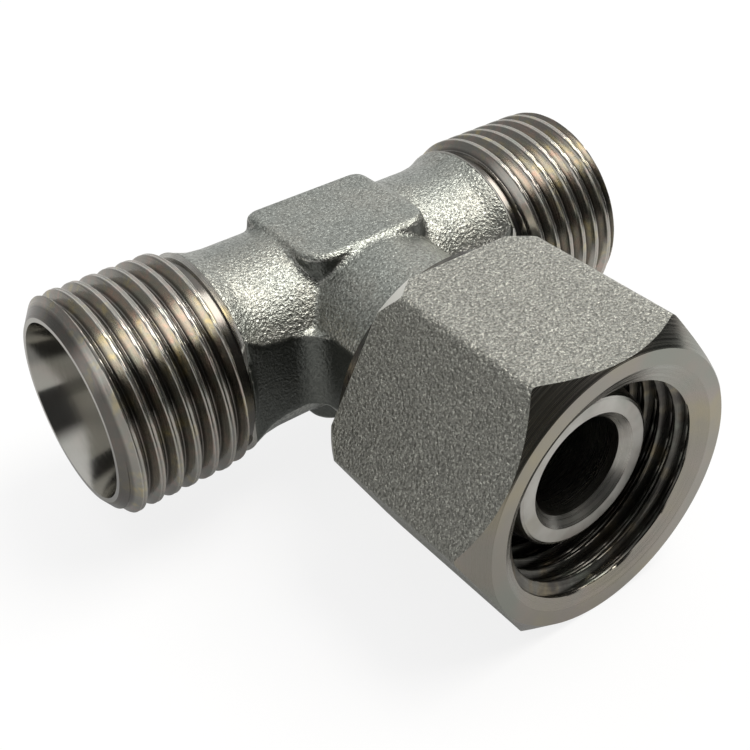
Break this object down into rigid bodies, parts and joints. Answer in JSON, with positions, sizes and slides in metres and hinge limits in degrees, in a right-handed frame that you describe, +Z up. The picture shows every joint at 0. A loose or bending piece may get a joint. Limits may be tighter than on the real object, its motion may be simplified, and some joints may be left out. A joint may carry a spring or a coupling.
{
  "type": "adjustable tee adapter",
  "caption": "Steel hydraulic tee with two threaded tube ends on its run and a hexagon swivel nut on its branch.",
  "frame": {"origin": "the point where the axis of the run crosses the axis of the branch", "axes": "+X along the run, -Y out of the branch's nut, +Z up from the flat pad above the crossing"},
  "size_m": [0.0496, 0.041, 0.022],
  "materials": {
    "body_steel": "zinc plated, matte on the forged faces and bright on the turned ones",
    "nut_steel": "zinc plated, matte on the flats and bright on the turned faces",
    "seal_rubber": "black, satin",
    "wire_steel": "drawn spring wire"
  },
  "bodies": {
    "tee": {"tee_body": "body_steel", "o_ring": "seal_rubber"},
    "nut": {"swivel_nut": "nut_steel", "retaining_wire": "wire_steel"}
  },
  "joints": [
    {"name": "nut_spin", "type": "hinge", "parent": "tee", "child": "nut", "pos_m": [0, -0.0232, 0], "axis": [0, -1, 0], "continuous": true}
  ]
}
